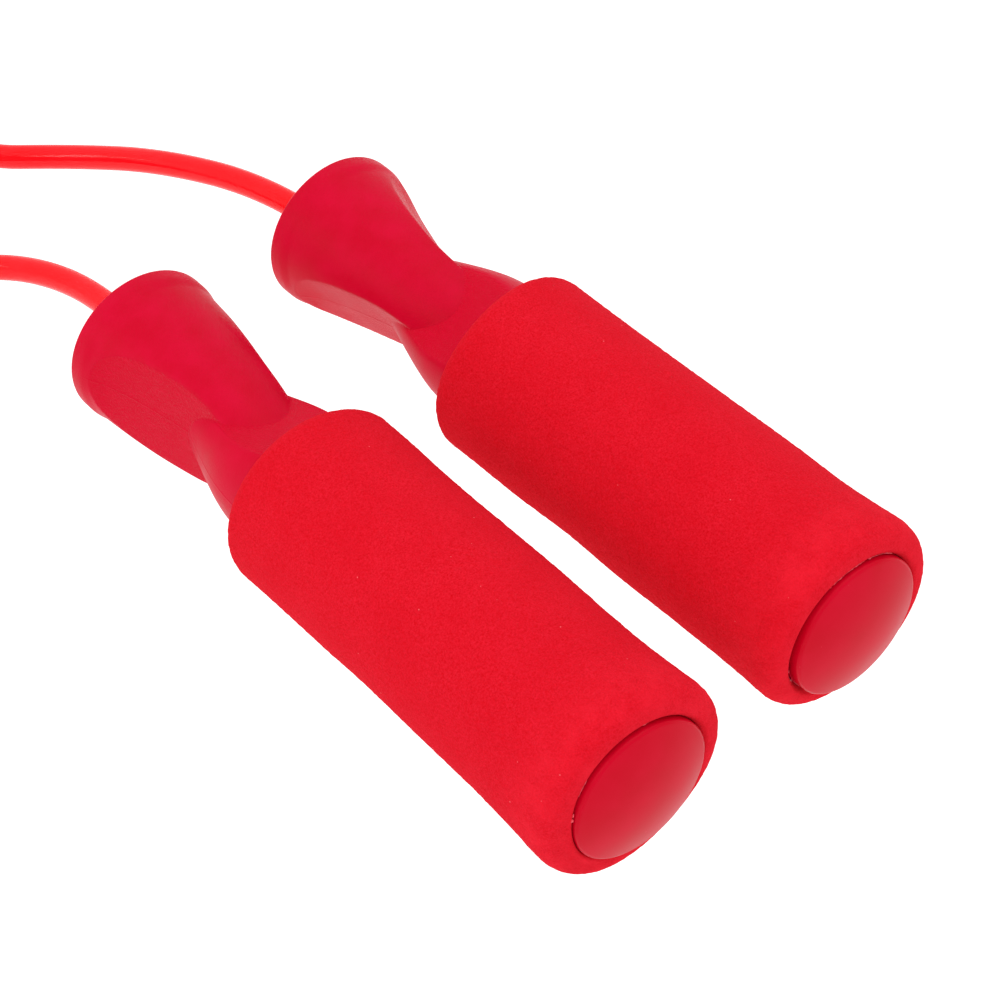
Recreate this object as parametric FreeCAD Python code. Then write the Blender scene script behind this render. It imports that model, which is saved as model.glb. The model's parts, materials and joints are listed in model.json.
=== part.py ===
import FreeCAD, Part
import math
import os

from FreeCAD import Vector

# Jump rope: a PVC cord that turns freely in two handles. Each handle is a moulded core with a flared
# front, a foam grip pushed over its tube, and a domed cap plugged into its rear end.
#
# Frame, in millimetres: +X runs along the handles from their fronts to their caps, +Y from the left
# handle to the right one, +Z up. The origin is on the floor, in the middle below the two handles.

os.makedirs("parts", exist_ok=True)

# ---- Driving dimensions ----
CORD_RADIUS = 2.75
GRIP_RADIUS = 20.0
GRIP_FRONT = 57.5            # stations along a handle are distances behind its front rim
GRIP_LENGTH = 97.2
GRIP_ROUNDING = 3.5
CORE_RADIUS = 15.0           # the tube under the foam
CORE_LENGTH = 153.0
RIM_RADIUS = 16.75
RIM_WIDTH = 3.2
RIM_SLOPE_END = 6.4          # the rim slopes down to the flare up to here
RIM_NOSE = 0.9               # rounding of the rim's front edge
CAP_RADIUS = 14.85
CAP_EDGE = 2.5
CAP_DOME = 2.0
CAP_STEM_LENGTH = 12.0
CAP_STEM_WALL = 2.0
HANDLE_LENGTH = CORE_LENGTH + CAP_EDGE + CAP_DOME

# ---- The handle's hollow ----
CUP_MOUTH_RADIUS = 13.8
CUP_DEPTH = 18.0
CUP_FLOOR_RADIUS = 9.0
WEB_REAR = 22.0
BUSH_SEAT_RADIUS = 4.4
POCKET_RADIUS = 6.2          # the room behind the web, where the ferrule turns
POCKET_REAR = 48.0
BORE_START = 70.0
BORE_RADIUS = 12.8

# ---- Swivel parts ----
RUNNING_CLEARANCE = 0.1
BUSH_FLANGE_RADIUS = 6.8
BUSH_FLANGE = 1.6
BUSH_STAND_OUT = 0.4
BUSH_LEAD_IN = 0.8
WASHER_RADIUS = 5.6
WASHER_THICKNESS = 1.0
FERRULE_RADIUS = 4.25
FERRULE_LENGTH = 7.4
CRIMP_DEPTH = 0.5
CRIMP_WIDTH = 2.0
CRIMP_PLACES = (0.3, 0.7)    # shares of the ferrule's length

# ---- Where the handles lie ----
# For each handle: middle of its length, heading of its axis, and how far it has rolled about that axis.
HANDLES = {
    "left": {"middle": (2.1, -27.0), "heading": -0.7, "roll": -8.5},
    "right": {"middle": (-1.9, 27.0), "heading": 0.7, "roll": 28.5},
}

# ---- The cord's routes, from the ferrule of the left handle to that of the right ----
LEFT_ROUTE = [
    (-44.15, -26.43, 20.0),
    (-68.64, -26.14, 20.0),
    (-97.0, -23.2, 19.0),
    (-122.0, -28.5, 13.5),
    (-139.5, -43.0, 6.5),
    (-145.6, -61.0, 2.85),
    (-151.5, -74.0, 2.75),
]
RIGHT_ROUTE = [
    (-179.0, -91.5, 19.25),
    (-197.1, -95.3, 19.25),
    (-219.0, -83.3, 15.5),
    (-228.8, -59.7, 10.5),
    (-224.1, -34.6, 5.8),
    (-209.6, -15.6, 2.9),
    (-172.0, -10.0, 3.2),
    (-151.5, 6.0, 7.5),
    (-130.0, 15.7, 14.0),
    (-103.0, 23.7, 19.0),
    (-72.64, 26.14, 20.0),
    (-48.15, 26.43, 20.0),
]
ARC_SHARE = 0.45             # how much of the shorter run beside a point its arc takes up

# ---- The put-away coil ----
COIL_CENTRE = (-184.0, -55.0)
COIL_OUTER_RADIUS = 39.75
COIL_INNER_RADIUS = 17.75
COIL_LAYERS = 4
COIL_HEIGHT = COIL_LAYERS * 2 * CORD_RADIUS
TIE_ANGLE = 40.0
TIE_WIDTH = 10.0
TIE_THICKNESS = 0.8

# ---- Outlines of the neck, as (station, distance from the axis) ----
# The flare and the shoulder are round. Each has two hollow flanks cut into it, and the shoulder's
# flanks are a quarter turn round from the flare's.
FLARE = [
    (RIM_SLOPE_END, 16.15),
    (9.0, 15.95),
    (16.0, 15.35),
    (27.0, 13.95),
    (36.0, 12.25),
    (46.0, 9.2),
    (51.0, 7.4),
]
FLARE_FLANK = [
    (4.2, 17.2),
    (9.0, 14.35),
    (14.5, 12.4),
    (23.0, 10.3),
    (31.0, 8.8),
    (40.0, 8.1),
    (51.0, 7.4),
]
SHOULDER = [
    (23.0, 5.6),
    (31.0, 9.1),
    (37.0, 11.2),
    (47.0, 14.0),
    (59.0, CORE_RADIUS),
]
SHOULDER_FLANK = [
    (22.0, 6.4),
    (29.0, 6.7),
    (36.0, 7.4),
    (44.0, 8.8),
    (52.0, 10.5),
    (59.0, 12.3),
    (70.0, 15.6),
]

REACH = 40.0                 # longer than any radius, for cutting blocks
AXIS_START = Vector(0, 0, 0)
AXIS = Vector(1, 0, 0)


def curve_through(points):
    """A smooth edge through points given as (station, distance)."""
    curve = Part.BSplineCurve()
    curve.interpolate([Vector(x, y, 0) for x, y in points])
    return curve.toShape()


def straight(start, end):
    return Part.LineSegment(Vector(*start, 0), Vector(*end, 0)).toShape()


def turned(points):
    """A solid turned about the handle's axis from a closed outline of straight edges."""
    corners = [Vector(x, y, 0) for x, y in points]
    face = Part.Face(Part.makePolygon(corners + corners[:1]))
    return face.revolve(AXIS_START, AXIS, 360)


def turned_under(edges, first, last):
    """A solid turned from a chain of edges that runs from first to last, closed along the axis."""
    chain = list(edges)
    chain.append(straight(last, (last[0], 0)))
    chain.append(straight((last[0], 0), (first[0], 0)))
    chain.append(straight((first[0], 0), first))
    wire = Part.Wire(Part.__sortEdges__(chain))
    return Part.Face(wire).revolve(AXIS_START, AXIS, 360)


def between_flanks(flank, direction):
    """The block that is left between two hollow flanks facing plus and minus direction."""
    first = flank[0]
    last = flank[-1]
    upper = curve_through(flank)
    lower = curve_through([(x, -y) for x, y in flank])
    rear = straight(last, (last[0], -last[1]))
    front = straight((first[0], -first[1]), first)
    face = Part.Face(Part.Wire(Part.__sortEdges__([upper, rear, lower, front])))
    face.translate(Vector(0, 0, -REACH))
    block = face.extrude(Vector(0, 0, 2 * REACH))
    ahead = Part.makeBox(first[0] + REACH, 2 * REACH, 2 * REACH, Vector(-REACH, -REACH, -REACH))
    behind = Part.makeBox(CORE_LENGTH, 2 * REACH, 2 * REACH, Vector(last[0], -REACH, -REACH))
    block = block.fuse([ahead, behind])
    if direction == "Z":
        block.rotate(AXIS_START, AXIS, 90)
    return block


def placed(shape, handle):
    """A shape made along +X from the front rim, moved to where the handle lies."""
    lie = HANDLES[handle]
    moved = shape.copy()
    moved.translate(Vector(-HANDLE_LENGTH / 2, 0, 0))
    moved.rotate(AXIS_START, AXIS, lie["roll"])
    moved.rotate(AXIS_START, Vector(0, 0, 1), lie["heading"])
    moved.translate(Vector(*lie["middle"], GRIP_RADIUS))
    return moved


def export(shape, node):
    solid = shape.removeSplitter()
    if not solid.isValid() or len(solid.Solids) != 1:
        raise ValueError(node + " is not one valid solid")
    solid.exportStep("parts/" + node + ".step")
    print(node, "volume", round(solid.Volume, 1), "mm3")


def flare():
    cut_in = RIM_NOSE * (1 - math.sqrt(0.5))
    nose = Part.Arc(
        Vector(0, RIM_RADIUS - RIM_NOSE, 0),
        Vector(cut_in, RIM_RADIUS - cut_in, 0),
        Vector(RIM_NOSE, RIM_RADIUS, 0),
    )
    edges = [
        nose.toShape(),
        straight((RIM_NOSE, RIM_RADIUS), (RIM_WIDTH, RIM_RADIUS)),
        straight((RIM_WIDTH, RIM_RADIUS), FLARE[0]),
        curve_through(FLARE),
    ]
    body = turned_under(edges, (0, RIM_RADIUS - RIM_NOSE), FLARE[-1])
    return body.common(between_flanks(FLARE_FLANK, "Y"))


def shoulder_and_tube():
    edges = [curve_through(SHOULDER), straight(SHOULDER[-1], (CORE_LENGTH, CORE_RADIUS))]
    body = turned_under(edges, SHOULDER[0], (CORE_LENGTH, CORE_RADIUS))
    return body.common(between_flanks(SHOULDER_FLANK, "Z"))


def handle_core():
    """Flare, neck and tube in one moulding, with a web across the neck that seats the bush."""
    cup_slope = (CUP_MOUTH_RADIUS - CUP_FLOOR_RADIUS) / CUP_DEPTH
    cup = turned([
        (-1, 0),
        (-1, CUP_MOUTH_RADIUS + cup_slope),
        (CUP_DEPTH, CUP_FLOOR_RADIUS),
        (CUP_DEPTH, 0),
    ])
    seat = turned([
        (CUP_DEPTH - 1, 0),
        (CUP_DEPTH - 1, BUSH_SEAT_RADIUS),
        (WEB_REAR + 1, BUSH_SEAT_RADIUS),
        (WEB_REAR + 1, 0),
    ])
    bore = turned([
        (WEB_REAR, 0),
        (WEB_REAR, POCKET_RADIUS),
        (POCKET_REAR, POCKET_RADIUS),
        (BORE_START, BORE_RADIUS),
        (CORE_LENGTH + 1, BORE_RADIUS),
        (CORE_LENGTH + 1, 0),
    ])
    solid = flare().fuse(shoulder_and_tube())
    return solid.cut(cup).cut(seat).cut(bore)


def foam_grip():
    rear = GRIP_FRONT + GRIP_LENGTH
    sleeve = turned([
        (GRIP_FRONT, CORE_RADIUS),
        (GRIP_FRONT, GRIP_RADIUS),
        (rear, GRIP_RADIUS),
        (rear, CORE_RADIUS),
    ])
    rims = [edge for edge in sleeve.Edges if is_circle(edge, GRIP_RADIUS)]
    return sleeve.makeFillet(GRIP_ROUNDING, rims)


def is_circle(edge, radius):
    return isinstance(edge.Curve, Part.Circle) and abs(edge.Curve.Radius - radius) < 0.001


def end_cap():
    """A domed flange with a hollow plug stem."""
    stem_front = CORE_LENGTH - CAP_STEM_LENGTH
    edge_station = CORE_LENGTH + CAP_EDGE
    dome_radius = (CAP_RADIUS ** 2 + CAP_DOME ** 2) / (2 * CAP_DOME)
    half = CAP_RADIUS / 2
    dome_drop = dome_radius - math.sqrt(dome_radius ** 2 - half ** 2)
    dome = Part.Arc(
        Vector(edge_station, CAP_RADIUS, 0),
        Vector(HANDLE_LENGTH - dome_drop, half, 0),
        Vector(HANDLE_LENGTH, 0, 0),
    )
    edges = [
        straight((stem_front, 0), (stem_front, BORE_RADIUS)),
        straight((stem_front, BORE_RADIUS), (CORE_LENGTH, BORE_RADIUS)),
        straight((CORE_LENGTH, BORE_RADIUS), (CORE_LENGTH, CAP_RADIUS)),
        straight((CORE_LENGTH, CAP_RADIUS), (edge_station, CAP_RADIUS)),
        dome.toShape(),
        straight((HANDLE_LENGTH, 0), (stem_front, 0)),
    ]
    plug = Part.Face(Part.Wire(Part.__sortEdges__(edges))).revolve(AXIS_START, AXIS, 360)
    hollow_radius = BORE_RADIUS - CAP_STEM_WALL
    hollow = turned([(0, 0), (0, hollow_radius), (CORE_LENGTH, hollow_radius), (CORE_LENGTH, 0)])
    return plug.cut(hollow)


def bush():
    """A flanged nylon bearing, pushed into the web from the front."""
    bore = CORD_RADIUS + RUNNING_CLEARANCE
    front = CUP_DEPTH - BUSH_FLANGE
    rear = WEB_REAR + BUSH_STAND_OUT
    return turned([
        (front + BUSH_LEAD_IN, bore),
        (front, bore + BUSH_LEAD_IN),
        (front, BUSH_FLANGE_RADIUS),
        (CUP_DEPTH, BUSH_FLANGE_RADIUS),
        (CUP_DEPTH, BUSH_SEAT_RADIUS),
        (rear, BUSH_SEAT_RADIUS),
        (rear, bore),
    ])


WASHER_FRONT = WEB_REAR + BUSH_STAND_OUT + RUNNING_CLEARANCE
FERRULE_FRONT = WASHER_FRONT + WASHER_THICKNESS


def washer():
    """Turns with the cord, and runs on the end of the bush when the rope is pulled."""
    rear = WASHER_FRONT + WASHER_THICKNESS
    bore = CORD_RADIUS + RUNNING_CLEARANCE
    return turned([(WASHER_FRONT, bore), (WASHER_FRONT, WASHER_RADIUS), (rear, WASHER_RADIUS), (rear, bore)])


def ferrule():
    """A metal sleeve crimped on the cord's end in two places."""
    outline = [(FERRULE_FRONT, CORD_RADIUS), (FERRULE_FRONT, FERRULE_RADIUS)]
    for share in CRIMP_PLACES:
        middle = FERRULE_FRONT + share * FERRULE_LENGTH
        outline += [
            (middle - CRIMP_WIDTH / 2, FERRULE_RADIUS),
            (middle - CRIMP_WIDTH / 4, FERRULE_RADIUS - CRIMP_DEPTH),
            (middle + CRIMP_WIDTH / 4, FERRULE_RADIUS - CRIMP_DEPTH),
            (middle + CRIMP_WIDTH / 2, FERRULE_RADIUS),
        ]
    rear = FERRULE_FRONT + FERRULE_LENGTH
    outline += [(rear, FERRULE_RADIUS), (rear, CORD_RADIUS)]
    return turned(outline)


def cord_tube(route, name):
    """A tube along straight runs joined by tangent arcs. Prints the arcs' radii and checks the volume."""
    points = [Vector(*point) for point in route]
    edges = []
    radii = []
    here = points[0]
    for before, corner, after in zip(points, points[1:], points[2:]):
        back = before - corner
        ahead = after - corner
        turn = math.pi - back.getAngle(ahead)
        trim = ARC_SHARE * min(back.Length, ahead.Length)
        back.normalize()
        ahead.normalize()
        radius = trim / math.tan(turn / 2)
        inward = back + ahead
        inward.normalize()
        sag = radius / math.cos(turn / 2) - radius
        arc_start = corner + back * trim
        arc_end = corner + ahead * trim
        edges.append(Part.LineSegment(here, arc_start).toShape())
        edges.append(Part.Arc(arc_start, corner + inward * sag, arc_end).toShape())
        radii.append(round(radius, 1))
        here = arc_end
    edges.append(Part.LineSegment(here, points[-1]).toShape())
    path = Part.Wire(edges)
    section = Part.Wire(Part.makeCircle(CORD_RADIUS, points[0], points[1] - points[0]))
    tube = path.makePipeShell([section], True, False)
    expected = math.pi * CORD_RADIUS ** 2 * path.Length
    print(name, "length", round(path.Length, 1), "arc radii", radii)
    print(name, "volume over section times length", round(tube.Volume / expected, 4))
    return tube


def tie_band():
    """A strap round the coil's bundle at one place, made at the coil's centre and turned to its angle."""
    bundle_width = COIL_OUTER_RADIUS - COIL_INNER_RADIUS
    inner = Part.makeBox(
        bundle_width,
        TIE_WIDTH,
        COIL_HEIGHT,
        Vector(COIL_INNER_RADIUS, -TIE_WIDTH / 2, TIE_THICKNESS),
    )
    outer = Part.makeBox(
        bundle_width + 2 * TIE_THICKNESS,
        TIE_WIDTH,
        COIL_HEIGHT + 2 * TIE_THICKNESS,
        Vector(COIL_INNER_RADIUS - TIE_THICKNESS, -TIE_WIDTH / 2, 0),
    )
    band = outer.cut(inner)
    band.rotate(AXIS_START, Vector(0, 0, 1), TIE_ANGLE)
    band.translate(Vector(*COIL_CENTRE, 0))
    return band


def coil_shape(tie):
    """The outer shape of the coiled cord, with the tie let into it."""
    middle = Vector(*COIL_CENTRE, 0)
    ring = Part.makeCylinder(COIL_OUTER_RADIUS, COIL_HEIGHT, middle)
    ring = ring.cut(Part.makeCylinder(COIL_INNER_RADIUS, COIL_HEIGHT, middle))
    rounding = CORD_RADIUS * 0.8
    rims = [edge for edge in ring.Edges if isinstance(edge.Curve, Part.Circle)]
    ring = ring.makeFillet(rounding, rims)
    return ring.cut(tie)


handle_pieces = {
    "handle_core": handle_core(),
    "foam_grip": foam_grip(),
    "end_cap": end_cap(),
    "bush": bush(),
    "washer": washer(),
    "ferrule": ferrule(),
}
for side in HANDLES:
    for piece, shape in handle_pieces.items():
        export(placed(shape, side), side + "_" + piece)

export(cord_tube(LEFT_ROUTE, "left_cord"), "left_cord")
export(cord_tube(RIGHT_ROUTE, "right_cord"), "right_cord")
tie = tie_band()
export(tie, "coil_tie")
export(coil_shape(tie), "cord_coil")
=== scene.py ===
import json
import math
import random

import bmesh
import bpy
import numpy as np
from mathutils import Matrix, Vector, noise


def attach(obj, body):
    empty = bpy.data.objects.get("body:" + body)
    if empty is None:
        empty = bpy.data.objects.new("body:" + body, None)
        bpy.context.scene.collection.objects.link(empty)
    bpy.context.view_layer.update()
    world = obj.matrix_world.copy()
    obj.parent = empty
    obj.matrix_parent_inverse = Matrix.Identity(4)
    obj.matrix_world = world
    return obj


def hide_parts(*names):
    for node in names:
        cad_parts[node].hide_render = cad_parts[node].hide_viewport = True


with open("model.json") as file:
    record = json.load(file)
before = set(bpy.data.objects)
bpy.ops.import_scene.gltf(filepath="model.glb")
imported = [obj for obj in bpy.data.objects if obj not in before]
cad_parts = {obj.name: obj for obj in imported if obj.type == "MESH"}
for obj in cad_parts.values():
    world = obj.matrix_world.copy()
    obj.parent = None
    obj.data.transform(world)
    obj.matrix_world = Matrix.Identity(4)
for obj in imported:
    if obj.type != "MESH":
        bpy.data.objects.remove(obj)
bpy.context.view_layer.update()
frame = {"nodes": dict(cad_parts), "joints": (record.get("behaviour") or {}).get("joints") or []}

MM = 0.001
FULL_TURN = 2 * math.pi

# ---- The handles, in millimetres behind the front rim and from the axis ----
HANDLE_LENGTH = 157.5         # from the front rim to the tip of the cap
CORE_LENGTH = 153.0
CORE_RADIUS = 15.0
GRIP_RADIUS = 20.0
GRIP_FRONT = 57.5
GRIP_REAR = 154.7
RIM_RADIUS = 16.75
RIM_WIDTH = 3.2
RIM_SLOPE_END = 6.4           # where the slope behind the rim meets the flare
CUP_MOUTH_RADIUS = 13.8
CUP_DEPTH = 18.0
CUP_FLOOR_RADIUS = 9.0
WEB_REAR = 22.0
BUSH_SEAT_RADIUS = 4.4
POCKET_RADIUS = 6.2
POCKET_REAR = 48.0
BORE_START = 70.0
BORE_RADIUS = 12.8
CAP_RADIUS = 14.85
CAP_EDGE = 2.5
CAP_DOME = 2.6
CAP_STEM = 12.0
ROLL = {"left": math.radians(-8.5), "right": math.radians(28.5)}

# The flare and the shoulder are round, and each has two hollow flanks, a quarter turn apart.
FLARE = [
    (RIM_SLOPE_END, 16.15),
    (9.0, 15.95),
    (16.0, 15.35),
    (27.0, 13.95),
    (36.0, 12.25),
    (46.0, 9.2),
    (51.0, 7.4),
]
FLARE_FLANK = [
    (4.2, 17.2),
    (9.0, 14.35),
    (14.5, 12.4),
    (23.0, 10.3),
    (31.0, 8.8),
    (40.0, 8.1),
    (51.0, 7.4),
]
SHOULDER = [
    (23.0, 5.6),
    (31.0, 9.1),
    (37.0, 11.2),
    (47.0, 14.0),
    (59.0, 15.0),
]
SHOULDER_FLANK = [
    (22.0, 6.4),
    (29.0, 6.7),
    (36.0, 7.4),
    (44.0, 8.8),
    (52.0, 10.5),
    (59.0, 12.3),
    (70.0, 15.6),
]

# ---- The cord, in metres ----
CORD_DIAMETER = 0.0055
LEFT_ROUTE = [
    (-0.04415, -0.02643, 0.0200),
    (-0.06864, -0.02614, 0.0200),
    (-0.0970, -0.0232, 0.0190),
    (-0.1220, -0.0285, 0.0135),
    (-0.1395, -0.0430, 0.0065),
    (-0.1456, -0.0610, 0.00285),
]
RIGHT_ROUTE = [
    (-0.1971, -0.0953, 0.01925),
    (-0.2190, -0.0833, 0.0155),
    (-0.2288, -0.0597, 0.0105),
    (-0.2241, -0.0346, 0.0058),
    (-0.2096, -0.0156, 0.0029),
    (-0.1720, -0.0100, 0.0032),
    (-0.1515, 0.0060, 0.0075),
    (-0.1300, 0.0157, 0.0140),
    (-0.1030, 0.0237, 0.0190),
    (-0.07264, 0.02614, 0.0200),
    (-0.04815, 0.02643, 0.0200),
]
COIL_CENTRE = Vector((-0.184, -0.055, 0))
COIL_OUTER_TURN = 0.037       # radius of the outermost turn's centreline
COIL_PITCH = 0.00575
COIL_LAYERS = 4
COIL_TURNS = 12 + 52 / 360    # it starts at the left cord's angle and ends at the right cord's
COIL_START_ANGLE = -30.0      # degrees from +X, like TIE_ANGLE
COIL_RISE_TURNS = 0.25        # share of a turn spent climbing to the next layer
POINTS_PER_TURN = 16
# The curve runs inside its points, so a turn's points stand this much further out than its centreline.
POINT_OUTSET = 1 / (0.75 + 0.25 * math.cos(FULL_TURN / POINTS_PER_TURN))
TIE_ANGLE = 40.0
TIE_THICKNESS = 0.0008
TIE_WIDTH = 0.010
TURNS_LIFT = 1.2 * TIE_THICKNESS         # how far the turns rise to pass over the strap
TURNS_LIFT_SPREAD = 28                   # degrees to each side of it

# ---- The camera ----
CAMERA_PLACE = Vector((0.3339, -0.2619, 0.4214))
CAMERA_HEADING = math.radians(51.35)     # 0 looks along +Y
CAMERA_TILT = math.radians(43.77)        # below the horizon
CAMERA_ROLL = math.radians(-1.26)
CAMERA_LENS = 109.4


def ramp(value, start, end):
    """0 up to start, 1 from end on, and even between them. The end may be the lower of the two."""
    return min(1.0, max(0.0, (value - start) / (end - start)))


def eased(x):
    return x * x * (3 - 2 * x)


def make_camera():
    data = bpy.data.cameras.new("camera")
    data.lens = CAMERA_LENS
    data.sensor_width = 36.0
    camera = bpy.data.objects.new("camera", data)
    bpy.context.scene.collection.objects.link(camera)
    ahead = Vector((-math.sin(CAMERA_HEADING), math.cos(CAMERA_HEADING), 0))
    view = ahead * math.cos(CAMERA_TILT) - Vector((0, 0, math.sin(CAMERA_TILT)))
    turn = view.to_track_quat("-Z", "Y") @ Matrix.Rotation(CAMERA_ROLL, 3, "Z").to_quaternion()
    camera.location = CAMERA_PLACE
    camera.rotation_mode = "QUATERNION"
    camera.rotation_quaternion = turn
    bpy.context.scene.camera = camera


def coil_points():
    """Turns that spiral in and out, layer on layer, and lie a cord's width apart."""
    per_layer = (COIL_TURNS - COIL_RISE_TURNS * (COIL_LAYERS - 1)) / COIL_LAYERS
    width = COIL_PITCH * per_layer
    steps = round(COIL_TURNS * POINTS_PER_TURN)
    points = []
    for i in range(steps + 1):
        turned = COIL_TURNS * i / steps
        layer = min(int(turned / (per_layer + COIL_RISE_TURNS)), COIL_LAYERS - 1)
        along = turned - layer * (per_layer + COIL_RISE_TURNS)
        rise = eased(ramp(along, per_layer, per_layer + COIL_RISE_TURNS))
        inward = COIL_PITCH * min(along, per_layer)
        if layer % 2:
            inward = width - inward
        angle = COIL_START_ANGLE - 360 * turned
        past_tie = (angle - TIE_ANGLE + 180) % 360 - 180
        over_tie = TURNS_LIFT * math.exp(-(past_tie / TURNS_LIFT_SPREAD) ** 2)
        radius = (COIL_OUTER_TURN - inward) * POINT_OUTSET
        height = CORD_DIAMETER * (0.5 + layer + rise) + over_tie
        direction = Vector((math.cos(math.radians(angle)), math.sin(math.radians(angle)), 0))
        points.append(COIL_CENTRE + direction * radius + Vector((0, 0, height)))
    return points


def make_cord():
    points = [*LEFT_ROUTE, *coil_points(), *RIGHT_ROUTE]
    curve = bpy.data.curves.new("cord", "CURVE")
    curve.dimensions = "3D"
    spline = curve.splines.new("NURBS")
    spline.points.add(len(points) - 1)
    for place, point in zip(spline.points, points):
        place.co = (*point, 1.0)
        # The radius is here, and the bevel is 1 m, so that the curve's box is the cord's own.
        place.radius = CORD_DIAMETER / 2
    spline.order_u = 3
    spline.use_endpoint_u = True
    spline.resolution_u = 12
    curve.bevel_depth = 1.0
    curve.bevel_resolution = 10
    curve.use_fill_caps = True
    cord = bpy.data.objects.new("cord", curve)
    bpy.context.scene.collection.objects.link(cord)
    return cord


# ---- Mesh helpers ----

def mesh_object(name, vertices, faces, smooth_below=35):
    """A shaded mesh in the scene. Edges that turn more than smooth_below degrees stay sharp."""
    mesh = bpy.data.meshes.new(name)
    mesh.from_pydata([tuple(v) for v in vertices], [], faces)
    mesh.update()
    mesh.polygons.foreach_set("use_smooth", [True] * len(mesh.polygons))
    mesh.set_sharp_from_angle(angle=math.radians(smooth_below))
    thing = bpy.data.objects.new(name, mesh)
    bpy.context.scene.collection.objects.link(thing)
    return thing


def lofted(name, rings, closed, smooth_below=35):
    """A surface through rings of points. Its last ring joins the first, or both ends are filled."""
    count = len(rings[0])
    vertices = [point for ring in rings for point in ring]
    faces = []
    last = len(rings) if closed else len(rings) - 1
    for i in range(last):
        here = i * count
        there = (i + 1) % len(rings) * count
        for j in range(count):
            k = (j + 1) % count
            faces.append((here + j, here + k, there + k, there + j))
    if not closed:
        for ring, order in ((0, -1), (len(rings) - 1, 1)):
            centre = len(vertices)
            vertices.append(sum((Vector(p) for p in rings[ring]), Vector()) / count)
            for j in range(count):
                pair = (ring * count + j, ring * count + (j + 1) % count)
                faces.append((*pair[::order], centre))
    return mesh_object(name, vertices, faces, smooth_below)


def keep_shares(thing, name, rings):
    """Keep a value with each point of a closed loft, for its material to use."""
    shares = thing.data.attributes.new(name, "FLOAT", "POINT")
    shares.data.foreach_set("value", np.concatenate(rings))


def handle_matrix(side):
    """From millimetres behind the front rim and across the axis, to metres in the frame."""
    joint = next(j for j in frame["joints"] if j["name"] == side + "_swivel")
    axis = Vector(joint["axis"])
    heading = math.atan2(axis.y, axis.x)
    front = Vector(joint["pos_m"]) - axis.normalized() * (HANDLE_LENGTH / 2 * MM)
    turn = Matrix.Rotation(heading, 4, "Z") @ Matrix.Rotation(ROLL[side], 4, "X")
    return Matrix.Translation(front) @ turn @ Matrix.Scale(MM, 4)


def ring_points(stations, radii, angles, matrix):
    """One ring: a station and a radius for each angle."""
    stations = np.broadcast_to(stations, angles.shape)
    radii = np.broadcast_to(radii, angles.shape)
    local = np.stack([stations, radii * np.cos(angles), radii * np.sin(angles), np.ones_like(angles)])
    return (np.array(matrix) @ local)[:3].T


def smooth_line(points, x):
    """A smooth curve through points, with slopes taken from each point's neighbours."""
    px, py = np.array(points).T
    slope = np.gradient(py, px)
    x = np.clip(x, px[0], px[-1])
    i = np.clip(np.searchsorted(px, x) - 1, 0, len(px) - 2)
    width = px[i + 1] - px[i]
    t = (x - px[i]) / width
    return (
        py[i] * (1 + 2 * t) * (1 - t) ** 2
        + slope[i] * width * t * (1 - t) ** 2
        + py[i + 1] * t ** 2 * (3 - 2 * t)
        + slope[i + 1] * width * t ** 2 * (t - 1)
    )


def softly_least(a, b, softness):
    return 0.5 * (a + b - np.sqrt((a - b) ** 2 + softness ** 2))


def softly_most(a, b, softness):
    return 0.5 * (a + b + np.sqrt((a - b) ** 2 + softness ** 2))


# ---- The moulded core ----
RIM_ROUNDING = 0.9
MOUTH_ROUNDING = 0.5
FLARE_EDGE_SOFTNESS = 0.2
SHOULDER_EDGE_SOFTNESS = 0.9
MOULD_LINE_HEIGHT = 0.06
MOULD_LINE_WIDTH = 0.16
FLANK_FADE = 0.12             # depth over which a flank's finish sets in
NECK_STEP = 0.35
NECK_END = 62.0               # the neck's rings go this far, under the foam


def neck_skin(station, angles):
    """How far the core's skin is from the axis behind the rim, and how much of it is a hollow flank."""
    across = np.abs(np.cos(angles)) + 1e-6
    upright = np.abs(np.sin(angles)) + 1e-6
    slope = ramp(station, RIM_WIDTH, RIM_SLOPE_END)
    round_flare = smooth_line(FLARE, station) * eased(slope) + RIM_RADIUS * (1 - eased(slope))
    flat_flare = smooth_line(FLARE_FLANK, station) / across
    flare = softly_least(round_flare, flat_flare, FLARE_EDGE_SOFTNESS)
    round_shoulder = smooth_line(SHOULDER, station)
    flat_shoulder = smooth_line(SHOULDER_FLANK, station) / upright
    shoulder = softly_least(round_shoulder, flat_shoulder, SHOULDER_EDGE_SOFTNESS)
    if station > FLARE[-1][0]:
        skin = shoulder
    elif station < SHOULDER[0][0]:
        skin = flare
    else:
        skin = softly_most(flare, shoulder, FLARE_EDGE_SOFTNESS / 2)
    off_line = np.arcsin(np.clip(np.abs(np.sin(angles)), 0, 1)) * skin
    mould_line = MOULD_LINE_HEIGHT * slope * np.exp(-(off_line / MOULD_LINE_WIDTH) ** 2)
    flank = np.where(flare > shoulder, round_flare - flat_flare, round_shoulder - flat_shoulder)
    return skin + mould_line, np.clip(flank / FLANK_FADE, 0, 1)


def core_angles():
    """Even steps round, with more of them where the mould's two halves met."""
    even = np.linspace(0, FULL_TURN, 240, endpoint=False)
    close = np.radians([-1.6, -1.1, -0.7, -0.35, 0.35, 0.7, 1.1, 1.6])
    near = np.concatenate([close, close + math.pi]) % FULL_TURN
    return np.unique(np.concatenate([even, near]))


def arc(centre, radius, start, end, steps):
    """Points on an arc of an outline, by angle in degrees, from the +station axis towards the outside."""
    return [
        (centre[0] + radius * math.cos(math.radians(a)), centre[1] + radius * math.sin(math.radians(a)))
        for a in np.linspace(start, end, steps)
    ]


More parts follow.
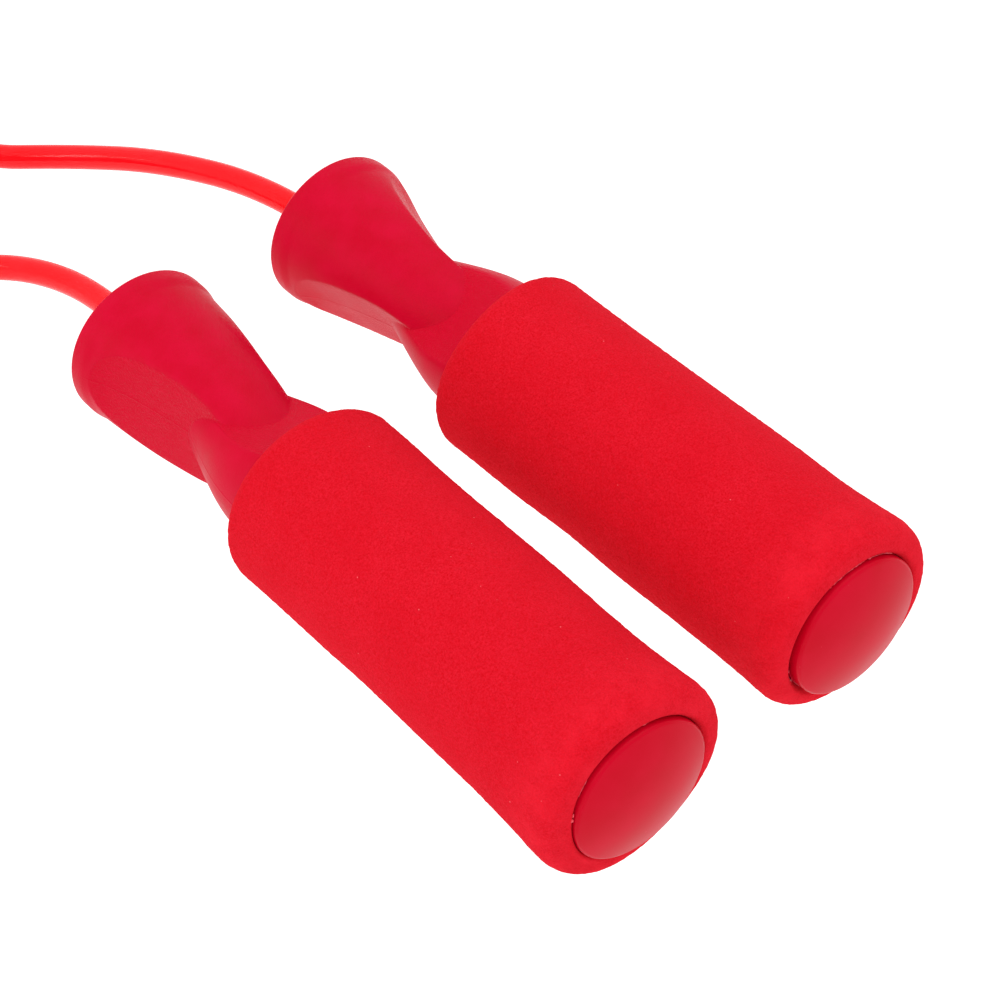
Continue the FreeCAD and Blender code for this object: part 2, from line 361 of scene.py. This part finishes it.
def make_core(side):
    matrix = handle_matrix(side)
    angles = core_angles()
    rings = [ring_points(s, CORE_RADIUS, angles, matrix) for s in (CORE_LENGTH, 120.0, 90.0, 66.0)]
    flanks = [np.zeros_like(angles) for ring in rings]
    for station in np.arange(NECK_END, RIM_WIDTH, -NECK_STEP):
        skin, flank = neck_skin(station, angles)
        rings.append(ring_points(station, skin, angles, matrix))
        flanks.append(flank)
    rim = [(RIM_WIDTH - 0.3, RIM_RADIUS), (2.0, RIM_RADIUS)]
    rim += arc((RIM_ROUNDING, RIM_RADIUS - RIM_ROUNDING), RIM_ROUNDING, 90, 180, 8)
    rim += arc((MOUTH_ROUNDING, CUP_MOUTH_RADIUS + MOUTH_ROUNDING), MOUTH_ROUNDING, 180, 270, 5)
    inside = [
        (6.0, CUP_MOUTH_RADIUS - 1.6),
        (CUP_DEPTH - 0.6, CUP_FLOOR_RADIUS + 0.2),
        (CUP_DEPTH - 0.1, CUP_FLOOR_RADIUS - 0.2),
        (CUP_DEPTH, CUP_FLOOR_RADIUS - 0.8),
        (CUP_DEPTH, BUSH_SEAT_RADIUS),
        (WEB_REAR, BUSH_SEAT_RADIUS),
        (WEB_REAR, POCKET_RADIUS),
        (POCKET_REAR, POCKET_RADIUS),
        (BORE_START, BORE_RADIUS),
        (CORE_LENGTH, BORE_RADIUS),
    ]
    rings += [ring_points(s, r, angles, matrix) for s, r in rim + inside]
    flanks += [np.zeros_like(angles) for point in rim + inside]
    core = lofted(side + "_core", rings, closed=True)
    keep_shares(core, "flank", flanks)
    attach(core, side + "_handle")
    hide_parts(side + "_handle_core")
    core.data.materials.append(MATERIALS["handle_plastic"])


# ---- The foam grip ----
GRIP_MIDDLE = (GRIP_FRONT + GRIP_REAR) / 2
GRIP_RIPPLE = 0.14            # height of the slow waves in the foam's skin
RIPPLE_LENGTH = 15.0
GRIP_GRAIN = 0.11             # height of the torn pores
PORE_SIZE = 1.1
GRIP_FRONT_ROUNDING = 2.8
GRIP_REAR_CREST = 16.2        # distance from the axis where the rear end stands out most
GRIP_REAR_ROUNDING = 5.2      # how far back the rounding outside the crest reaches
GRIP_REAR_DIP = 1.3           # how far the foam falls back from the crest to the cap
GRIP_REAR_DIP_CURVE = 2.4     # above 1, most of that fall is close to the cap
BORE_EDGE = 0.5
# How the stretched foam differs from a straight sleeve, as (station, change of radius), along its far
# upper side and its near lower side. SIDE_ANGLE is where the upper side is, round from +Y.
SIDE_ANGLE = math.radians(33)
UPPER_SIDE = {
    "left": [(57, 0.0), (66, 0.0), (74, -0.2), (115, -0.15), (138, -0.1), (148, 0.4), (155, 0.9)],
    "right": [(57, 0.1), (66, 0.1), (85, 0), (104, 0.2), (122, 0.1), (136, -0.1), (146, 0.4), (155, 0.9)],
}
LOWER_SIDE = {
    "left": [
        (57, 0), (66, -0.1), (80, -0.3), (96, -0.6), (108, -0.55), (132, -0.25), (146, 0.3), (155, 0.9),
    ],
    "right": [(57, 0.1), (66, 0.1), (85, -0.1), (94, -0.3), (108, 0), (125, -0.15), (142, 0), (155, 0.4)],
}
REACH_OF_CUTS = 40.0          # how far from its middle the sleeve takes on its ends' uneven cuts
# Where the ends were cut unevenly: (angle round from +Y, how far back, over what angle).
FRONT_CUT = {"left": [(60, 0.6, 60)], "right": [(33, -0.6, 60), (118, 0.8, 40), (213, -0.6, 60)]}
REAR_CUT = {"left": [(33, 0.4, 60), (300, -0.9, 50)], "right": [(262, -1.4, 65)]}
# Where the foam's inner edge stands further back or further forward beside the cap, in the same terms.
LIP_CUT = {"left": [(200, 1.1, 45)], "right": [(95, 0.3, 40), (178, -0.9, 45)]}


def cut_depth(cuts, around):
    """How far back the cuts take an edge, at angles round from +Y."""
    depth = np.zeros_like(around)
    for middle, back, spread in cuts:
        away = (np.degrees(around) - middle + 180) % 360 - 180
        depth += back * np.exp(-(away / spread) ** 2)
    return depth


def grain(points, size, seed):
    """Smooth noise between -1 and 1 at each point, with features of one size."""
    return np.array([noise.noise(Vector(p) / size + Vector((seed, seed, seed))) for p in points])


def grip_outline():
    """The sleeve's closed outline, from the front of its bore over the outside and back."""
    front = (GRIP_FRONT + GRIP_FRONT_ROUNDING, GRIP_RADIUS - GRIP_FRONT_ROUNDING)
    rear_start = GRIP_REAR - GRIP_REAR_ROUNDING
    inner = CORE_RADIUS + 0.05
    lip = CAP_RADIUS + 0.06
    outline = [(GRIP_FRONT + BORE_EDGE, inner), (GRIP_FRONT, inner + BORE_EDGE)]
    outline += arc(front, GRIP_FRONT_ROUNDING, 178, 90, 12)
    outline += [(s, GRIP_RADIUS) for s in np.arange(front[0] + 0.6, rear_start, 0.6)]
    for turn in np.radians(np.linspace(90, 0, 16)):
        radius = GRIP_REAR_CREST + (GRIP_RADIUS - GRIP_REAR_CREST) * math.sin(turn)
        outline.append((rear_start + GRIP_REAR_ROUNDING * math.cos(turn), radius))
    for share in np.linspace(0.15, 1, 9):
        dip = GRIP_REAR_DIP * share ** GRIP_REAR_DIP_CURVE
        outline.append((GRIP_REAR - dip, GRIP_REAR_CREST + (lip - GRIP_REAR_CREST) * share))
    outline += [(GRIP_REAR - 2.6, inner), (GRIP_REAR - 8.0, inner)]
    return outline


def make_grip(side):
    matrix = handle_matrix(side)
    angles = np.linspace(0, FULL_TURN, 300, endpoint=False)
    around = angles + ROLL[side]
    upper = 0.5 + 0.5 * np.cos(around - SIDE_ANGLE)
    seed = 3.7 if side == "left" else 11.2
    rings = []
    painted_rear_highlight = []
    for station, radius in grip_outline():
        # Painted highlight: a share that paints the foam paler over its rear rounding, round the cap.
        painted_rear_highlight.append(np.full_like(angles, eased(ramp(station, GRIP_REAR - 16.0, GRIP_REAR - 4.0))))
        front_share = eased(ramp(station, GRIP_MIDDLE, GRIP_MIDDLE - REACH_OF_CUTS))
        rear_share = eased(ramp(station, GRIP_MIDDLE, GRIP_MIDDLE + REACH_OF_CUTS))
        stations = station + cut_depth(FRONT_CUT[side], around) * front_share
        stations = stations + cut_depth(REAR_CUT[side], around) * rear_share
        if station > GRIP_MIDDLE:
            lip_share = eased(ramp(radius, GRIP_REAR_CREST, CORE_RADIUS))
            stations = stations + cut_depth(LIP_CUT[side], around) * lip_share
        skin = ramp(radius, CORE_RADIUS + 0.1, CORE_RADIUS + 3.1)
        change = smooth_line(UPPER_SIDE[side], station) * upper
        change = change + smooth_line(LOWER_SIDE[side], station) * (1 - upper)
        local = np.stack([stations, radius * np.cos(angles), radius * np.sin(angles)], axis=1)
        waves = GRIP_RIPPLE * grain(local, RIPPLE_LENGTH, seed)
        pores = GRIP_GRAIN * (grain(local, PORE_SIZE, seed) + 0.6 * grain(local, PORE_SIZE / 2, seed + 5))
        radii = radius + skin * (change + waves + pores)
        ring = ring_points(stations, radii, angles, matrix)
        # The bulging foam is cut flat where it would go below the ground.
        ring[:, 2] = np.maximum(ring[:, 2], 0.0)
        rings.append(ring)
    grip = lofted(side + "_grip", rings, closed=True, smooth_below=60)
    keep_shares(grip, "painted_rear_highlight", painted_rear_highlight)
    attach(grip, side + "_handle")
    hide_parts(side + "_foam_grip")
    grip.data.materials.append(MATERIALS["foam"])


# ---- The end cap ----
CAP_ROUNDING = 0.9
CAP_WALL = 2.0
CHAMFER = 0.3


def make_cap(side):
    matrix = handle_matrix(side)
    angles = np.linspace(0, FULL_TURN, 160, endpoint=False)
    edge = CORE_LENGTH + CAP_EDGE
    dome_radius = (CAP_RADIUS ** 2 + CAP_DOME ** 2) / (2 * CAP_DOME)
    tip = edge + CAP_DOME
    stem_front = CORE_LENGTH - CAP_STEM
    outline = [
        (stem_front + CAP_WALL, 0.2),
        (stem_front + CAP_WALL, BORE_RADIUS - CAP_WALL),
        (stem_front, BORE_RADIUS - CAP_WALL),
        (stem_front, BORE_RADIUS),
        (CORE_LENGTH, BORE_RADIUS),
        (CORE_LENGTH, CAP_RADIUS - CHAMFER),
        (CORE_LENGTH + CHAMFER, CAP_RADIUS),
    ]
    outline += arc((edge - CAP_ROUNDING * 0.7, CAP_RADIUS - CAP_ROUNDING), CAP_ROUNDING, 90, 22, 9)
    for radius in np.linspace(CAP_RADIUS - CAP_ROUNDING, 0.4, 26):
        drop = dome_radius - math.sqrt(dome_radius ** 2 - radius ** 2)
        outline.append((tip - drop, radius))
    rings = [ring_points(s, r, angles, matrix) for s, r in outline]
    cap = lofted(side + "_cap", rings, closed=False)
    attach(cap, side + "_handle")
    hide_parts(side + "_end_cap")
    cap.data.materials.append(MATERIALS["cap_plastic"])


# ---- Glue ----
# Glue squeezed out of the gap round each cap: runs of it, as (angle round from +Y, how far they reach to
# each side), and crumbs, as (angle, how far they spread, how many).
GLUE_RUNS = {"left": [(145, 7), (166, 2), (84, 3)], "right": [(104, 21), (66, 14)]}
GLUE_CRUMBS = {"left": [(168, 4, 2)], "right": [(201, 10, 9)]}
GLUE_RADIUS = CAP_RADIUS + 0.35
GLUE_DEPTH = 0.62             # how far the glue lies in front of the foam's rear crest
GLUE_THINNEST = 0.04
GLUE_LUMPS = 0.14             # how much thicker its lumps are


def glue_station(side, degrees):
    """Where the foam's inner edge is, beside the cap, at an angle round from +Y."""
    around = np.radians([degrees])
    back = cut_depth(LIP_CUT[side], around)[0] + cut_depth(REAR_CUT[side], around)[0]
    return GRIP_REAR - GLUE_DEPTH + float(back)


def glue_run(side, middle, reach, dice):
    """Rings of a thin, uneven thread of glue on the foam's inner edge."""
    seed = dice.uniform(0, 50)
    rings = []
    for degrees in np.arange(middle - reach, middle + reach, 0.8):
        wobble = noise.noise(Vector((degrees / 3.0, seed, 0)))
        lump = max(0.0, 0.35 + 1.3 * noise.noise(Vector((degrees / 2.2, seed, 9))))
        thickness = GLUE_THINNEST + GLUE_LUMPS * lump
        ends = min(1.0, (reach - abs(degrees - middle)) / 1.5 + 0.05)
        angle = math.radians(degrees) - ROLL[side]
        ring = []
        for around in np.linspace(0, FULL_TURN, 8, endpoint=False):
            radius = GLUE_RADIUS + 0.12 * wobble + thickness * ends * math.cos(around)
            station = glue_station(side, degrees) + 0.10 * wobble + thickness * ends * math.sin(around)
            ring.append(Vector((station, radius * math.cos(angle), radius * math.sin(angle))))
        rings.append(ring)
    return rings


def make_glue(side):
    matrix = handle_matrix(side)
    dice = random.Random(side)
    form = bmesh.new()
    for middle, reach in GLUE_RUNS[side]:
        run = glue_run(side, middle, reach, dice)
        rings = [[form.verts.new(matrix @ point) for point in ring] for ring in run]
        for here, there in zip(rings, rings[1:]):
            for i, corner in enumerate(here):
                form.faces.new((here[i - 1], corner, there[i], there[i - 1]))
        form.faces.new(rings[0][::-1])
        form.faces.new(rings[-1])
    for middle, spread, count in GLUE_CRUMBS[side]:
        for _ in range(count):
            degrees = middle + dice.uniform(-spread, spread)
            angle = math.radians(degrees) - ROLL[side]
            size = dice.uniform(0.12, 0.26)
            distance = GLUE_RADIUS + dice.uniform(-0.1, 0.3)
            station = glue_station(side, degrees) + dice.uniform(-0.1, 0.25)
            place = Vector((station, distance * math.cos(angle), distance * math.sin(angle)))
            stretch = Vector((size, size * dice.uniform(0.8, 1.8), size * dice.uniform(0.8, 1.8)))
            lump = Matrix.Translation(place) @ Matrix.Diagonal((*stretch, 1))
            lump = matrix @ lump @ Matrix.Rotation(dice.uniform(0, FULL_TURN), 4, "X")
            bmesh.ops.create_icosphere(form, subdivisions=2, radius=1.0, matrix=lump)
    bmesh.ops.recalc_face_normals(form, faces=form.faces)
    mesh = bpy.data.meshes.new(side + "_glue")
    form.to_mesh(mesh)
    form.free()
    mesh.polygons.foreach_set("use_smooth", [True] * len(mesh.polygons))
    glue = bpy.data.objects.new(side + "_glue", mesh)
    bpy.context.scene.collection.objects.link(glue)
    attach(glue, side + "_handle")
    glue.data.materials.append(MATERIALS["glue"])


# ---- The coil's tie ----
TIE_STEP = 0.0006
TIE_GAP = 0.00005             # between the strap and the turns
TIE_LAP = 0.013               # how far the strap's end runs over its start
TIE_LAP_RISE = 0.003


def bundle_section():
    """Where the turns pass under the tie, as (distance from the coil's middle, height)."""
    aim = Vector((math.cos(math.radians(TIE_ANGLE)), math.sin(math.radians(TIE_ANGLE)), 0))
    aside = Vector((-aim.y, aim.x, 0))
    places = [point - COIL_CENTRE for point in coil_points()]
    section = []
    for here, there in zip(places, places[1:]):
        before, after = here.dot(aside), there.dot(aside)
        if here.dot(aim) > 0 and before * after <= 0:
            middle = here.lerp(there, before / (before - after))
            section.append((middle.dot(aim) / POINT_OUTSET, middle.z))
    return section


def hull(points):
    """The corners of the tightest outline round points, in order."""
    points = sorted(points)
    outline = []
    for run in (points, points[::-1]):
        start = len(outline)
        for x, z in run:
            while len(outline) - start > 1:
                (ax, az), (bx, bz) = outline[-2:]
                if (bx - ax) * (z - az) - (bz - az) * (x - ax) > 0:
                    break
                outline.pop()
            outline.append((x, z))
        outline.pop()
    return outline


def strap_line():
    """Evenly spaced points round the bundle, from the middle of its top, and the way out from each."""
    radius = CORD_DIAMETER / 2 + TIE_GAP
    angles = np.linspace(0, FULL_TURN, 36, endpoint=False)
    rim = [(radius * math.cos(a), radius * math.sin(a)) for a in angles]
    corners = np.array(hull([(x + dx, z + dz) for x, z in bundle_section() for dx, dz in rim]))
    top = np.argmax(corners[:, 1] - 0.2 * np.abs(corners[:, 0] - corners[:, 0].mean()))
    corners = np.roll(corners, -top, axis=0)
    loop = np.vstack([corners, corners[:1]])
    along = np.concatenate([[0], np.cumsum(np.linalg.norm(np.diff(loop, axis=0), axis=1))])
    even = np.linspace(0, along[-1], round(along[-1] / TIE_STEP), endpoint=False)
    line = np.stack([np.interp(even, along, loop[:, k]) for k in (0, 1)], axis=1)
    ahead = np.roll(line, -2, axis=0) - np.roll(line, 2, axis=0)
    ahead /= np.linalg.norm(ahead, axis=1)[:, None]
    return line, np.stack([ahead[:, 1], -ahead[:, 0]], axis=1)


def make_tie():
    """A woven strap pulled once round the bundle, with its end lapped over its start on top."""
    line, outward = strap_line()
    turn = Matrix.Translation(COIL_CENTRE) @ Matrix.Rotation(math.radians(TIE_ANGLE), 4, "Z")
    lap_start = len(line) * TIE_STEP
    rings = []
    for i in range(len(line) + round(TIE_LAP / TIE_STEP)):
        (x, z), (nx, nz) = line[i % len(line)], outward[i % len(line)]
        lifted = eased(ramp(i * TIE_STEP, lap_start - TIE_LAP_RISE, lap_start))
        ring = []
        for across, out in ((-0.5, 0.0), (-0.5, 0.7), (-0.47, 1.0), (0.47, 1.0), (0.5, 0.7), (0.5, 0.0)):
            stand = TIE_THICKNESS * (out + 1.03 * lifted)
            ring.append(turn @ Vector((x + nx * stand, across * TIE_WIDTH, z + nz * stand)))
        rings.append(ring)
    tie = lofted("tie", rings, closed=False)
    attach(tie, "rope")
    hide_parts("coil_tie")
    tie.data.materials.append(MATERIALS["tie_fabric"])
    return tie


# ---- Materials ----

class Shader:
    """A material's node tree, with short calls for what the materials below share."""

    def __init__(self, name):
        self.material = bpy.data.materials.new(name)
        self.material.use_nodes = True
        self.nodes = self.material.node_tree.nodes
        self.links = self.material.node_tree.links
        self.surface = self.nodes["Principled BSDF"]
        self.place = self.nodes.new("ShaderNodeTexCoord").outputs["Object"]

    def set(self, **values):
        for name, value in values.items():
            self.surface.inputs[name.replace("_", " ")].default_value = value

    def join(self, output, name):
        self.links.new(output, self.surface.inputs[name])

    def noise(self, size, detail=3.0, roughness=0.55, stretch=1.0):
        """Noise with features about size metres across, and stretch times as long along the handles."""
        mapping = self.nodes.new("ShaderNodeMapping")
        mapping.inputs["Scale"].default_value = (1 / stretch, 1, 1)
        self.links.new(self.place, mapping.inputs["Vector"])
        node = self.nodes.new("ShaderNodeTexNoise")
        node.inputs["Scale"].default_value = 1 / size
        node.inputs["Detail"].default_value = detail
        node.inputs["Roughness"].default_value = roughness
        self.links.new(mapping.outputs["Vector"], node.inputs["Vector"])
        return node.outputs["Fac"]

    def share(self, name):
        """A value kept with the mesh's points."""
        node = self.nodes.new("ShaderNodeAttribute")
        node.attribute_name = name
        return node.outputs["Fac"]

    def cells(self, size):
        """The distance from the nearest of points scattered about size metres apart."""
        node = self.nodes.new("ShaderNodeTexVoronoi")
        node.inputs["Scale"].default_value = 1 / size
        self.links.new(self.place, node.inputs["Vector"])
        return node.outputs["Distance"]

    def spread(self, value, low, high, to_low=0.0, to_high=1.0):
        node = self.nodes.new("ShaderNodeMapRange")
        ends = {"From Min": low, "From Max": high, "To Min": to_low, "To Max": to_high}
        for name, number in ends.items():
            node.inputs[name].default_value = number
        self.links.new(value, node.inputs["Value"])
        return node.outputs["Result"]

    def mix(self, share, a, b):
        """A colour between two colours, or between another mix and a colour."""
        # The node has sockets of the same name for each kind of value. 6, 7 and 2 are the colours'.
        node = self.nodes.new("ShaderNodeMix")
        node.data_type = "RGBA"
        self.links.new(share, node.inputs["Factor"])
        for socket, value in ((node.inputs[6], a), (node.inputs[7], b)):
            if isinstance(value, tuple):
                socket.default_value = (*value, 1)
            else:
                self.links.new(value, socket)
        return node.outputs[2]

    def maths(self, operation, a, b):
        node = self.nodes.new("ShaderNodeMath")
        node.operation = operation
        for socket, value in zip(node.inputs, (a, b)):
            if isinstance(value, (int, float)):
                socket.default_value = value
            else:
                self.links.new(value, socket)
        return node.outputs[0]

    def bump(self, height, depth, strength=1.0, under=None):
        node = self.nodes.new("ShaderNodeBump")
        node.inputs["Distance"].default_value = depth
        node.inputs["Strength"].default_value = strength
        self.links.new(height, node.inputs["Height"])
        if under is not None:
            self.links.new(under, node.inputs["Normal"])
        return node.outputs["Normal"]


def foam():
    """Closed-cell foam: a velvety skin of fine torn pores, with a painted highlight in paler patches round
    the cap.
    """
    s = Shader("foam")
    pores = s.noise(0.00037, detail=4.0, roughness=0.78)
    pits = s.cells(0.0009)
    patches = s.noise(0.011, detail=3.0)
    highlight_patches = s.noise(0.0045, detail=4.0, roughness=0.6)
    specks = s.cells(0.0052)
    base = s.mix(s.spread(pores, 0.32, 0.68), (0.64, 0.0004, 0.003), (0.84, 0.014, 0.036))
    base = s.mix(s.spread(patches, 0.35, 0.68, 0.0, 0.3), base, (0.68, 0.002, 0.010))
    # Painted highlight: paler patches over the foam's rear rounding, round the cap.
    painted_highlight = s.maths("MULTIPLY", s.share("painted_rear_highlight"), s.spread(highlight_patches, 0.4, 0.7, 0.15, 0.7))
    base = s.mix(painted_highlight, base, (0.88, 0.014, 0.032))
    base = s.mix(s.spread(specks, 0.02, 0.035, 0.55, 0.0), base, (0.92, 0.20, 0.22))
    s.join(base, "Base Color")
    fine = s.bump(pores, 0.00035, 0.9)
    s.join(s.bump(pits, 0.00015, 0.5, under=fine), "Normal")
    s.set(Roughness=0.95, IOR=1.1, Sheen_Weight=0.12, Sheen_Roughness=0.5, Sheen_Tint=(1.0, 0.12, 0.18, 1))
    return s.material


def handle_plastic():
    """Satin moulded plastic. Its hollow flanks were left with the mould's coarser, scratched finish."""
    s = Shader("handle_plastic")
    flow = s.noise(0.006, detail=4.0)
    fine = s.noise(0.0004, detail=3.0, roughness=0.7)
    flank = s.share("flank")
    scratches = s.noise(0.0007, detail=3.0, roughness=0.7, stretch=12.0)
    base = s.mix(s.spread(flow, 0.35, 0.7), (0.545, 0.0005, 0.019), (0.59, 0.001, 0.027))
    coarse = s.mix(s.spread(scratches, 0.5, 0.8), (0.575, 0.0005, 0.019), (0.63, 0.002, 0.028))
    s.join(s.mix(flank, base, coarse), "Base Color")
    s.join(s.spread(flow, 0.3, 0.7, 0.36, 0.46), "Roughness")
    scored = s.bump(s.maths("MULTIPLY", scratches, flank), 0.00008, 0.6)
    sparks = s.bump(s.maths("MULTIPLY", fine, flank), 0.00015, 0.7, under=scored)
    s.join(s.bump(fine, 0.0001, 0.6, under=sparks), "Normal")
    s.join(s.maths("MULTIPLY", flank, 0.12), "Sheen Weight")
    s.set(IOR=1.14, Sheen_Roughness=0.3, Sheen_Tint=(1.0, 0.36, 0.40, 1))
    return s.material


def cap_plastic():
    s = Shader("cap_plastic")
    flow = s.noise(0.009, detail=3.0)
    dust = s.cells(0.0033)
    fine = s.noise(0.0003, detail=2.0)
    base = s.mix(s.spread(flow, 0.35, 0.7), (0.53, 0.0005, 0.014), (0.57, 0.001, 0.019))
    s.join(s.mix(s.spread(dust, 0.02, 0.04, 0.4, 0.0), base, (0.85, 0.15, 0.18)), "Base Color")
    s.join(s.spread(flow, 0.3, 0.7, 0.28, 0.36), "Roughness")
    s.join(s.bump(fine, 0.00002, 0.4), "Normal")
    s.set(IOR=1.14)
    return s.material


def cord_pvc():
    """Clear-skinned red PVC: a sharp gloss over colour that light goes a little way into."""
    s = Shader("cord_pvc")
    flow = s.noise(0.014, detail=2.0)
    s.join(s.mix(s.spread(flow, 0.3, 0.7), (0.97, 0.003, 0.008), (1.0, 0.009, 0.016)), "Base Color")
    s.set(Subsurface_Weight=0.5, Subsurface_Scale=0.0018, Subsurface_Radius=(1.0, 0.2, 0.25))
    s.set(Roughness=0.07, IOR=1.27)
    s.join(s.bump(flow, 0.0002, 0.1), "Normal")
    return s.material


def dried_glue():
    s = Shader("glue")
    cloud = s.noise(0.0006, detail=2.0)
    s.join(s.mix(cloud, (0.76, 0.03, 0.06), (0.85, 0.14, 0.17)), "Base Color")
    s.set(Roughness=0.35, IOR=1.3, Subsurface_Weight=0.4, Subsurface_Scale=0.0006)
    return s.material


def bush_nylon():
    s = Shader("bush_nylon")
    flow = s.noise(0.002, detail=3.0)
    s.join(s.mix(flow, (0.70, 0.67, 0.58), (0.80, 0.78, 0.70)), "Base Color")
    s.set(Roughness=0.5, Subsurface_Weight=0.1, Subsurface_Scale=0.001)
    s.join(s.bump(flow, 0.00005, 0.4), "Normal")
    return s.material


def metal(name, light, dark, roughness):
    s = Shader(name)
    grain_noise = s.noise(0.0005, detail=4.0, roughness=0.7)
    s.join(s.mix(grain_noise, dark, light), "Base Color")
    s.join(s.spread(grain_noise, 0.3, 0.7, roughness - 0.08, roughness + 0.1), "Roughness")
    s.join(s.bump(grain_noise, 0.00002, 0.5), "Normal")
    s.set(Metallic=1.0)
    return s.material


def tie_fabric():
    """Black hook-and-loop strap: a close woven ground under short looped pile."""
    s = Shader("tie_fabric")
    pile = s.noise(0.0004, detail=4.0, roughness=0.75)
    weave = s.cells(0.0006)
    s.join(s.mix(pile, (0.006, 0.006, 0.007), (0.022, 0.022, 0.025)), "Base Color")
    s.set(Roughness=0.95, IOR=1.3, Sheen_Weight=0.06, Sheen_Roughness=0.5)
    s.join(s.bump(weave, 0.0002, 0.7, under=s.bump(pile, 0.0002, 0.8)), "Normal")
    return s.material


MATERIALS = {
    "glue": dried_glue(),
    "foam": foam(),
    "handle_plastic": handle_plastic(),
    "cap_plastic": cap_plastic(),
    "cord_pvc": cord_pvc(),
    "bush_nylon": bush_nylon(),
    "washer_steel": metal("washer_steel", (0.66, 0.66, 0.68), (0.48, 0.48, 0.50), 0.32),
    "ferrule_metal": metal("ferrule_metal", (0.80, 0.80, 0.82), (0.62, 0.62, 0.65), 0.28),
    "tie_fabric": tie_fabric(),
}


def finish_cad_nodes():
    """The small turned parts keep their CAD shape and get their own materials."""
    slots = {"bush": "bush_nylon", "washer": "washer_steel", "ferrule": "ferrule_metal"}
    for side in ROLL:
        for piece, slot in slots.items():
            node = frame["nodes"][side + "_" + piece]
            node.data.materials.clear()
            node.data.materials.append(MATERIALS[slot])


# ---- Floor and light ----

def make_stage():
    vertices = [(-3, -3, 0), (3, -3, 0), (3, 3, 0), (-3, 3, 0)]
    floor = mesh_object("floor", vertices, [(0, 1, 2, 3)])
    floor.location.z = -0.0001
    material = bpy.data.materials.new("floor")
    material.use_nodes = True
    surface = material.node_tree.nodes["Principled BSDF"]
    surface.inputs["Base Color"].default_value = (0, 0, 0, 1)
    surface.inputs["Roughness"].default_value = 1.0
    surface.inputs["Specular IOR Level"].default_value = 0.0
    surface.inputs["Emission Color"].default_value = (1, 1, 1, 1)
    surface.inputs["Emission Strength"].default_value = 1.3
    floor.data.materials.append(material)


def area_light(name, place, target, size, power):
    data = bpy.data.lights.new(name, "AREA")
    data.shape = "RECTANGLE"
    data.size = size[0]
    data.size_y = size[1]
    data.energy = power
    light = bpy.data.objects.new(name, data)
    light.location = place
    light.rotation_mode = "QUATERNION"
    light.rotation_quaternion = (Vector(target) - Vector(place)).to_track_quat("-Z", "Y")
    bpy.context.scene.collection.objects.link(light)


def make_light():
    world = bpy.data.worlds.new("tent")
    world.use_nodes = True
    background = world.node_tree.nodes["Background"]
    background.inputs["Color"].default_value = (1, 1, 1, 1)
    background.inputs["Strength"].default_value = 0.9
    bpy.context.scene.world = world
    area_light("overhead", (0.1, 0.3, 1.3), (0, 0, 0), (1.2, 1.2), 5.8)
    area_light("fill", (0.2, -0.8, 0.8), (0, 0, 0), (0.7, 0.5), 1.6)
    area_light("side", (-0.36, -0.70, 0.40), (-0.14, 0.00, 0.01), (0.36, 0.16), 0.8)


make_camera()
cord = make_cord()
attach(cord, "rope")
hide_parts("left_cord", "right_cord", "cord_coil")
cord.data.materials.append(MATERIALS["cord_pvc"])
tie = make_tie()
for side in ROLL:
    make_core(side)
    make_grip(side)
    make_cap(side)
    make_glue(side)
finish_cad_nodes()
make_stage()
make_light()
bpy.context.scene.view_settings.view_transform = "Standard"

bpy.context.view_layer.update()
